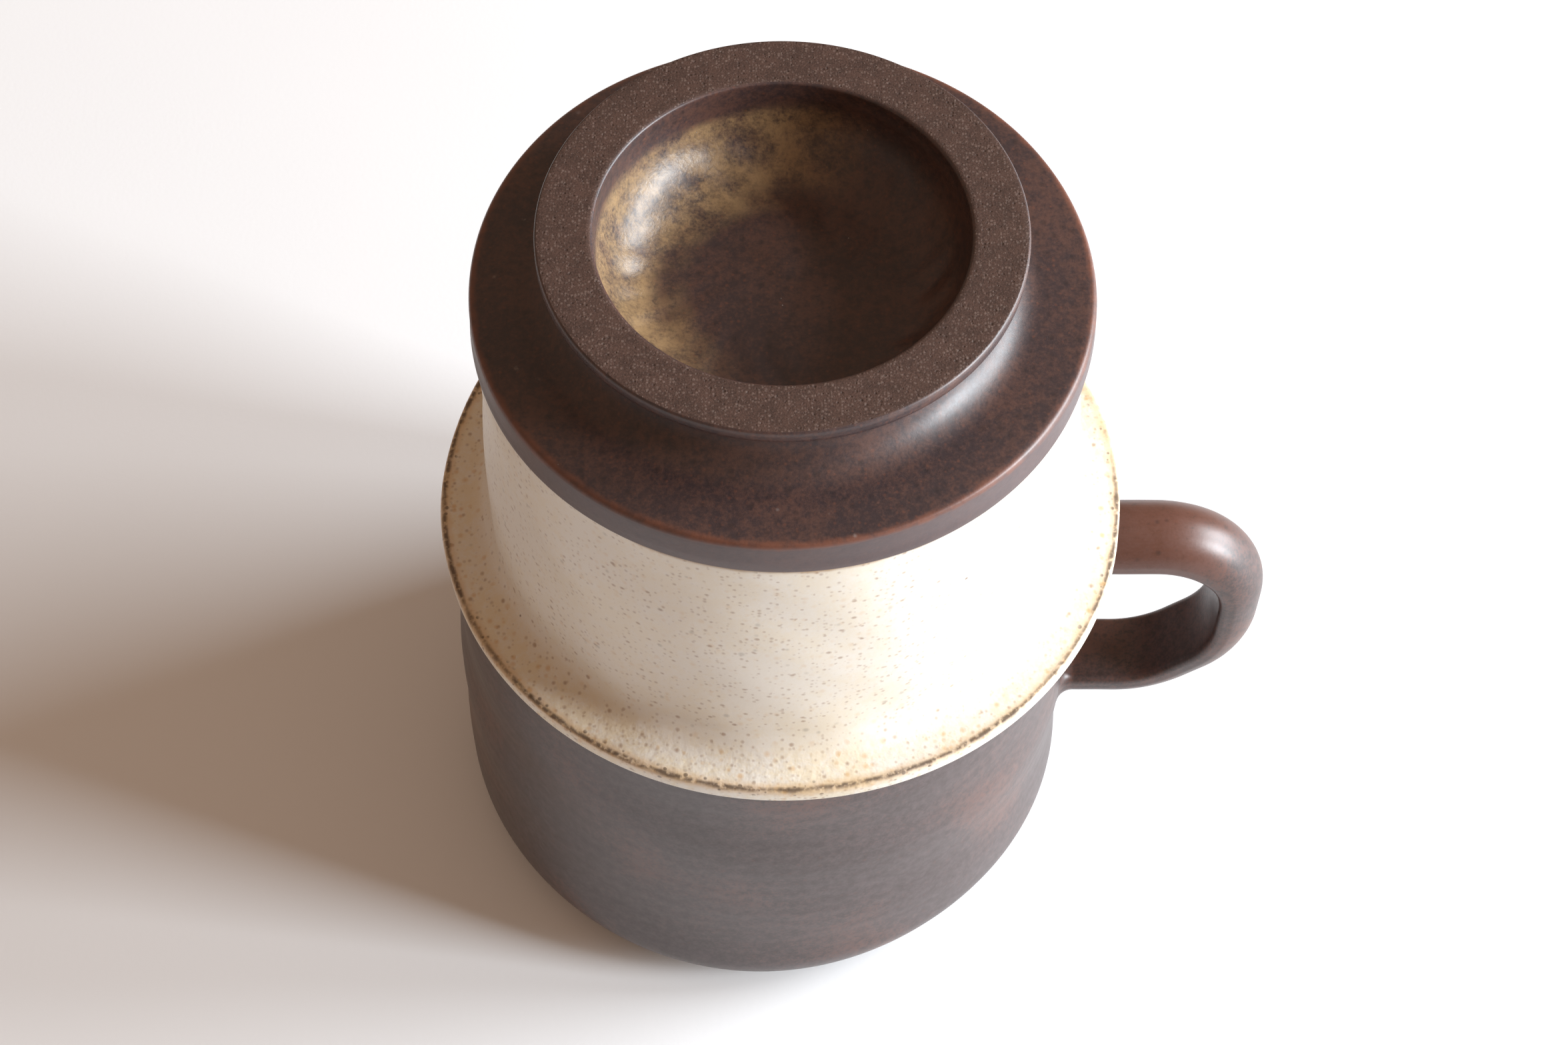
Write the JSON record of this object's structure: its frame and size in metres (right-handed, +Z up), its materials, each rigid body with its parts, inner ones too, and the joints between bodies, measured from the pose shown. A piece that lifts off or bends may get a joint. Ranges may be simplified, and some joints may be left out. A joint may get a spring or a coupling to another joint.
{
  "type": "pour over coffee set",
  "caption": "Stoneware pour-over dripper with a flange that rests on its strap-handled mug, holding a wedge paper, under a flat lid with a broad foot ring that turns over to be a saucer.",
  "frame": {"origin": "centre of the mug's foot ring, on the plane that it stands on", "axes": "+Z up along the mug's axis, with the axis of the dripper and lid 2.7 mm from it towards +X; +X towards the mug's handle; -Y towards a right-handed drinker's view of the side"},
  "size_m": [0.124, 0.1, 0.1347],
  "materials": {
    "brown_glaze": "satin, mottled red-brown iron glaze",
    "cream_glaze": "satin, oatmeal with iron specks and a burnt edge",
    "lid_glaze": "satin, dark red-brown, with a bare matt foot ring",
    "filter_paper": "matt, unbleached, creped"
  },
  "bodies": {
    "mug": {"mug_body": "brown_glaze", "mug_handle": "brown_glaze"},
    "dripper": {"dripper_collar": "cream_glaze", "dripper_funnel": "cream_glaze", "paper_filter": "filter_paper"},
    "lid": {"lid": "lid_glaze"}
  },
  "joints": [
    {"name": "dripper_lift", "type": "slide", "parent": "mug", "child": "dripper", "axis": [0, 0, 1], "range_m": [0, 0.07]},
    {"name": "lid_lift", "type": "slide", "parent": "dripper", "child": "lid", "axis": [0, 0, 1], "range_m": [0, 0.05]}
  ]
}
